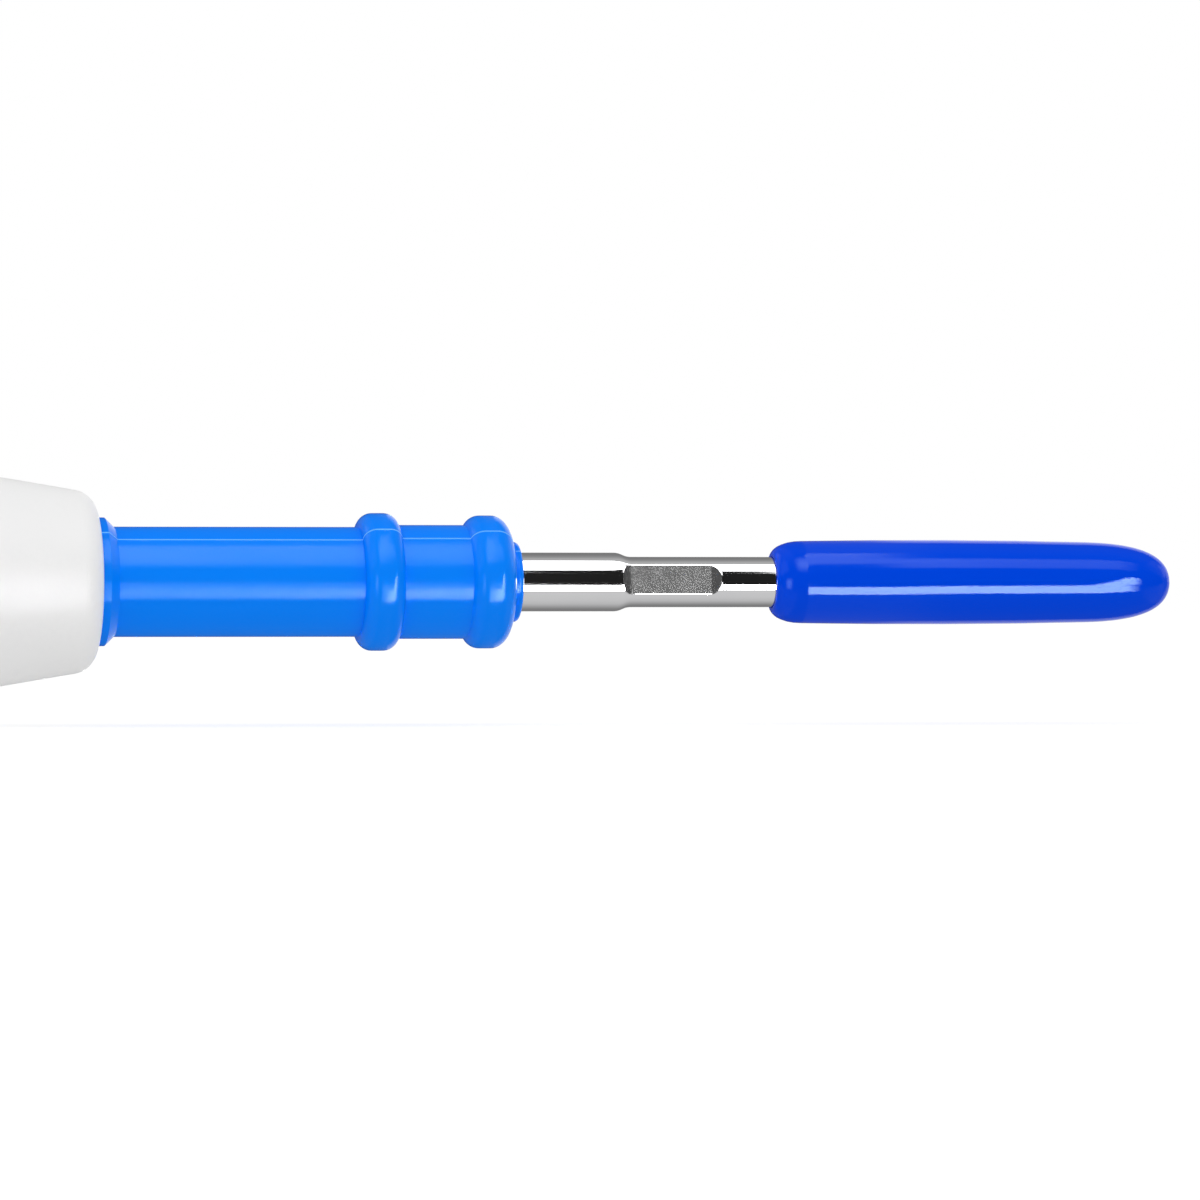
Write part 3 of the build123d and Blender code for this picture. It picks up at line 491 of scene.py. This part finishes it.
def on_pencil(ahead, radius, turn):
    """A point round the pencil's axis: turn is 0 on the camera's side and a quarter turn at the top."""
    return (nose_x + ahead, -radius * cos(turn), axis_z + radius * sin(turn))


def add_piece(name, points, faces, material, body, replaced=(), sharp=35):
    """Makes a smooth-shaded mesh piece that keeps edges above the sharp angle, and says what it rides on."""
    mesh = bpy.data.meshes.new(name)
    mesh.from_pydata(points, [], faces)
    mesh.validate()
    piece = add_object(name, mesh)
    mesh.shade_smooth()
    mesh.set_sharp_from_angle(angle=radians(sharp))
    mesh.materials.append(material)
    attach(piece, body)
    if replaced:
        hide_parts(*replaced)
    return piece


def turned(outline, turns, radius_at):
    """Points and faces of an outline turned round the axis, with its radii changed by radius_at.

    Ends at radius 0 become a single point, and an outline without them is closed into a tube.
    """
    points, faces, rings = [], [], []
    for ahead, radius in outline:
        if radius < 1e-9:
            rings.append([len(points)] * len(turns))
            points.append(on_pencil(ahead, 0, 0))
            continue
        rings.append(list(range(len(points), len(points) + len(turns))))
        for turn in turns:
            points.append(on_pencil(ahead, radius_at(ahead, radius, turn), turn))
    pairs = list(zip(rings, rings[1:]))
    if outline[0][1] > 1e-9:
        pairs.append((rings[-1], rings[0]))
    for near, far in pairs:
        for index in range(len(turns)):
            after = (index + 1) % len(turns)
            face = (near[index], far[index], far[after], near[after])
            corners = tuple(dict.fromkeys(face))
            if len(corners) > 2:
                faces.append(corners)
    return points, faces


def ring_side(plateau, foot, steps=10):
    """The rounded side of a ring, from its plateau down to its foot."""
    along, drop = abs(foot[0] - plateau[0]), plateau[1] - foot[1]
    radius = (along**2 + drop**2) / (2 * drop)
    sweep = 2 * atan2(drop, along)
    way = 1 if foot[0] > plateau[0] else -1
    centre = (plateau[0], plateau[1] - radius)
    angles = [sweep * step / steps for step in range(steps + 1)]
    return [(centre[0] + way * radius * sin(angle), centre[1] + radius * cos(angle)) for angle in angles]


def sleeve_outline():
    """The sleeve's outside from the flange's rear face to the end of its boss."""
    rear_plateau = (barrel_length + ring_shoulder, rear_ring_radius)
    rear_plateau_end = (rear_ring_end - ring_shoulder, rear_ring_radius)
    front_plateau = (front_ring_start + ring_shoulder, front_ring_radius)
    nose_centre = (front_ring_end - front_ring_nose, boss_radius)
    edge_centre = (sleeve_end - boss_edge, boss_radius - boss_edge)
    outline = [
        (sleeve_back, flange_radius),
        (flange_land, flange_radius),
        (flange_land + flange_slope, barrel_radius),
    ]
    outline += ring_side(rear_plateau, (barrel_length, barrel_radius))[::-1]
    outline += ring_side(rear_plateau_end, (rear_ring_end, front_barrel_radius))
    outline += ring_side(front_plateau, (front_ring_start, front_barrel_radius))[::-1]
    outline += arc(nose_centre, front_ring_nose, front_ring_radius - boss_radius, 90, 0, steps=14)
    outline += arc(edge_centre, boss_edge, boss_edge, 90, 0, steps=6)
    return without_repeats(outline)


def off_parting(turn):
    """The angle from a turn to the nearer of the two parting lines, which are half a turn apart."""
    return abs((turn - parting_turn + pi / 2) % pi - pi / 2)


def with_ridge(ahead, radius, turn):
    """The sleeve's radius, raised at the parting lines, and the bore's as it is."""
    if radius < boss_radius - 2 * boss_edge:
        return radius
    return radius + parting_height * max(0.0, 1 - off_parting(turn) * radius / parting_width)


def make_sleeve():
    """The sleeve with its rings and, on both sides, the fine ridge where the mould parted, whose middle gets
    a lighter blue as a painted highlight.
    """
    even = [2 * pi * index / sleeve_segments for index in range(sleeve_segments)]
    fine = [share * parting_width / barrel_radius for share in parting_points]
    turns = [turn for turn in even if off_parting(turn) > parting_clearance]
    turns += [(parting_turn + half + offset) % (2 * pi) for half in (0, pi) for offset in fine]
    bore = shaft_radius + sleeve_fit
    outline = [(sleeve_back, bore)] + sleeve_outline() + [(sleeve_end, bore)]
    points, faces = turned(outline, sorted(turns), with_ridge)
    replaced = ["electrode_sleeve"]
    piece = add_piece("sleeve_barrel", points, faces, sleeve_plastic, "electrode", replaced)
    # The lighter blue along the parting ridge is a painted highlight
    piece.data.materials.append(flash_highlight_plastic)
    for face in piece.data.polygons:
        out = Vector((-face.center.y, face.center.z - axis_z))
        off = off_parting(atan2(out.y, out.x)) * barrel_radius
        if off < parting_width * flash_highlight_share and out.length > boss_radius:
            face.material_index = 1


def make_key():
    """The hexagonal key behind the flange, with softened corners."""
    flat = key_across_flats / 2
    corner_radius = flat / cos(pi / 6)
    end_radius = corner_radius * (1 - key_chamfer / flat)
    bore = shaft_radius + sleeve_fit
    offsets = (-key_corner_width, 0, key_corner_width)
    turns = [pi / 3 * side + offset for side in range(6) for offset in offsets]

    def hexagon(radius, turn):
        """The distance to the hexagon's side, given the distance to its corners."""
        from_corner = (turn + pi / 6) % (pi / 3) - pi / 6
        side = radius / corner_radius * flat / cos(pi / 6 - abs(from_corner))
        return side if abs(from_corner) > 1e-6 else side * key_corner_share

    points, faces, rings = [], [], []
    for ahead, radius, six_sided in (
        (sleeve_back, bore, False),
        (sleeve_back, corner_radius, True),
        (key_chamfer - key_length, corner_radius, True),
        (-key_length, end_radius, True),
        (-key_length, bore, False),
    ):
        rings.append(len(points))
        for turn in turns:
            points.append(on_pencil(ahead, hexagon(radius, turn) if six_sided else radius, turn))
    count = len(turns)
    for near, far in zip(rings, rings[1:] + rings[:1]):
        for index in range(count):
            after = (index + 1) % count
            faces.append((near + index, near + after, far + after, far + index))
    add_piece("sleeve_key", points, faces, sleeve_plastic, "electrode")


def near_crimp(ahead):
    return crimp_start - crimp_reach < ahead < crimp_end + crimp_reach


def pressed_radius(ahead, radius, turn):
    """The shaft's radius after crimping: flats on both sides, which rise in a curve at both ends."""
    lean = abs(cos(turn - crimp_turn))
    if not near_crimp(ahead) or lean < crimp_side_lean:
        return radius
    rear = (crimp_start - ahead) / crimp_rear_bevel
    front = (ahead - crimp_end) / crimp_front_bevel
    rise = crimp_depth * max(rear, front, 0.0) ** crimp_bevel_curve
    flat_radius = (neck_radius - crimp_depth + rise) / lean
    blend = max(0.0, 1 - abs(radius - flat_radius) / crimp_rounding)
    return min(radius, flat_radius) - blend**2 * crimp_rounding / 4


def shaft_outline():
    """The shaft's outside before crimping, from its rear end to its front edge."""
    middle = (neck_start + taper_end) / 2
    taper = (
        (neck_start, shaft_radius),
        (middle, shaft_radius),
        (middle, neck_radius),
        (taper_end, neck_radius),
    )
    outline = [
        (-pin_length, 0),
        (-pin_length, shaft_radius - pin_chamfer),
        (-pin_length + pin_chamfer, shaft_radius),
        (0, shaft_radius),
        (sleeve_end, shaft_radius),
        (neck_start - taper_lead, shaft_radius),
    ]
    outline += bezier(taper, steps=28)
    place = taper_end + fine_step
    last_place = crimp_end + fine_bevel_share * crimp_front_bevel
    while place < last_place:
        outline.append((place, neck_radius))
        place += fine_step if place > crimp_end - fine_lead else coarse_step
    outline += [(last_place + fine_trail, neck_radius), (neck_end - neck_chamfer, neck_radius)]
    return outline


def shaft_turns():
    """Places round the shaft, closer together where the crimp's flats are."""
    turns, angle = [], -180
    while angle < 180:
        turns.append(radians(angle))
        beside_flat = abs((angle + 90) % 180 - 90) < fine_side
        angle += fine_turn if beside_flat else coarse_turn
    return turns


def blast_crimp(mesh, round_radius):
    """Gives the crimp's flats their own steel where they are pressed below the round shaft, and its tilted
    bevels a darker copy of that steel as painted shade.
    """

    def wear(corner):
        ahead = min(round_radius, key=lambda place: abs(place - corner.x + nose_x))
        return round_radius[ahead] - hypot(corner.y, corner.z - axis_z)

    mesh.materials.append(crimp_metal)
    mesh.materials.append(shaded_bevel_metal)
    for face in mesh.polygons:
        corners = [mesh.vertices[index].co for index in face.vertices]
        worn = sum(wear(corner) for corner in corners) / len(corners)
        if near_crimp(face.center.x - nose_x) and worn > crimp_least_wear:
            # Flats get the crimp steel; the tilted bevels get its darker copy, a painted shade
            face.material_index = 1 if abs(face.normal.x) < crimp_flat_tilt else 2


def soften_swage(mesh):
    """Makes the swage's shine bend less than its side, as on steel that is polished smooth."""
    shine = [corner.vector.copy() for corner in mesh.corner_normals]
    for face in mesh.polygons:
        if face.material_index > 0 or not neck_start < face.center.x - nose_x < taper_end:
            continue
        for index in face.loop_indices:
            place = mesh.vertices[mesh.loops[index].vertex_index].co
            out = Vector((0, place.y, place.z - axis_z)).normalized()
            tilt = shine[index].x / max(0.1, shine[index].dot(out))
            shine[index] = (out + Vector((taper_softness * tilt, 0, 0))).normalized()
    mesh.normals_split_custom_set(shine)


def make_shaft():
    """The steel shaft: a polished tube, swaged to its neck, with a blasted crimp flat on both sides."""
    outside = shaft_outline()
    front = [
        (neck_end, neck_radius - neck_chamfer),
        (neck_end, tang_bore_radius),
        (neck_end - tang_bore_depth, tang_bore_radius),
        (neck_end - tang_bore_depth, 0),
    ]
    points, faces = turned(without_repeats(outside + front), shaft_turns(), pressed_radius)
    replaced = ["electrode_shaft"]
    piece = add_piece("shaft_tube", points, faces, shaft_metal, "electrode", replaced)
    blast_crimp(piece.data, dict(outside))
    soften_swage(piece.data)


def copied(node, side=0):
    """Points and faces of a node's mesh, or of its half that lies ahead or behind, where side is 1 or -1."""
    shape = bmesh.new()
    shape.from_mesh(nodes[node].data)
    bmesh.ops.remove_doubles(shape, verts=shape.verts, dist=0.0001 * mm)
    if side:
        middle = (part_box("cut_button")[0].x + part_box("coag_button")[1].x) / 2
        cut = bmesh.ops.bisect_plane(
            shape,
            geom=shape.verts[:] + shape.edges[:] + shape.faces[:],
            plane_co=(middle, 0, 0),
            plane_no=(-side, 0, 0),
            clear_outer=True,
        )
        rim = [item for item in cut["geom_cut"] if isinstance(item, bmesh.types.BMEdge)]
        bmesh.ops.holes_fill(shape, edges=rim)
    shape.verts.index_update()
    points = [tuple(corner.co) for corner in shape.verts]
    faces = [[corner.index for corner in face.verts] for face in shape.faces]
    shape.free()
    return points, faces


def make_yielding(name, node, material, side=0, replaced=()):
    """A copy of a node under a button, or of its half on one side, that rides on the handle."""
    points, faces = copied(node, side)
    piece = add_piece(name, points, faces, material, "handle", replaced)
    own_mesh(piece)


def make_switches():
    """The button seal's two halves and the snap domes under it, as copies that ride on the handle."""
    for name, side, replaced in (("cut", 1, ["button_seal"]), ("coag", -1, [])):
        joint, dome = f"{name}_press", f"{name}_dome"
        half, snap = f"{name}_seal_half", f"{name}_snap_dome"
        make_yielding(half, "button_seal", silicone, side, replaced)
        make_yielding(snap, dome, spring_metal, replaced=[dome])


def dress(node, material):
    """Gives a CAD node its material."""
    mesh = nodes[node].data
    mesh.materials.clear()
    mesh.materials.append(material)


white = (0.84, 0.84, 0.84)
white_plastic = moulded("handle_white", white, 0.42, 1.2, cloud=0.01, grain_depth=0.002 * mm)
shell_plastic = moulded("shell_white", white, 0.5, 1.14, cloud=0.01, grain_depth=0.001 * mm)
grey_plastic = moulded("collar_grey", (0.62, 0.64, 0.66), 0.42, 1.4, grain_depth=0.002 * mm)
gland_rubber = moulded("gland_rubber", (0.20, 0.21, 0.22), 0.6, 1.45, cloud=0.06, grain_depth=0.004 * mm)
seal_rubber = moulded("seal_rubber", (0.05, 0.05, 0.055), 0.6, 1.45, cloud=0.06)
silicone = moulded("button_silicone", (0.7, 0.7, 0.7), 0.55, 1.42, cloud=0.03)
cut_plastic = moulded("cut_yellow", (0.9, 0.58, 0.02), 0.45, 1.06, cloud=0.03, grain_depth=0.0005 * mm)
coag_plastic = moulded("coag_blue", (0.01, 0.14, 0.62), 0.45, 1.06, cloud=0.03, grain_depth=0.0005 * mm)
drawn = (6, 1, 1)
sleeve_plastic = moulded("sleeve_blue", (0.0, 0.212, 0.95), 0.18, 1.21, drag=drawn, tint=(0.88, 0.98, 1.0))
# A lighter blue for the parting ridge: the ridge is real, its lightness a painted highlight
flash_highlight_plastic = moulded("sleeve_flash_painted_highlight", (0.12, 0.44, 1.0), 0.3, 1.21, cloud=0.05, drag=drawn)
cover_plastic = moulded("cover_blue", (0.0, 0.057, 0.71), 0.07, 1.22, tint=(0.58, 0.86, 1.0))
board_lacquer = moulded("board_green", (0.03, 0.22, 0.09), 0.35, 1.5, cloud=0.08)
shaft_metal = steel("shaft_steel", (0.76, 0.76, 0.77), 0.025, 0.00001 * mm)
crimp_metal = blasted("crimp_steel", (0.165, 0.165, 0.165))
# The crimp steel made darker for the tilted bevels: painted shade, not a different steel
shaded_bevel_metal = blasted("bevel_steel_painted_shade", (0.08, 0.08, 0.08))
blade_metal = blasted("blade_steel", (0.3, 0.3, 0.31), pits=0.002 * mm, drag=(12, 1, 1))
spring_metal = steel("spring_steel", (0.66, 0.67, 0.68), 0.2, 0.0005 * mm)
brass_metal = steel("brass", (0.72, 0.5, 0.2), 0.2, 0.0005 * mm)
gold_metal = steel("pad_gold", (0.85, 0.6, 0.22), 0.2, 0.0005 * mm)

for node, material in (
    ("nose_cone", white_plastic),
    ("upper_shell", shell_plastic),
    ("lower_shell", shell_plastic),
    ("tail_collar", grey_plastic),
    ("cable_gland", gland_rubber),
    ("shaft_seal", seal_rubber),
    ("electrode_socket", brass_metal),
    ("socket_spring", spring_metal),
    ("active_strap", brass_metal),
    ("circuit_board", board_lacquer),
    ("contact_pads", gold_metal),
    ("terminal_pins", brass_metal),
    ("cut_button", cut_plastic),
    ("coag_button", coag_plastic),
    ("electrode_blade", blade_metal),
    ("tip_cover", cover_plastic),
):
    dress(node, material)

make_sleeve()
make_key()
make_shaft()
make_switches()

surroundings()
floor()
key_lamp()
add_camera()

bpy.context.scene.view_settings.view_transform = "Standard"
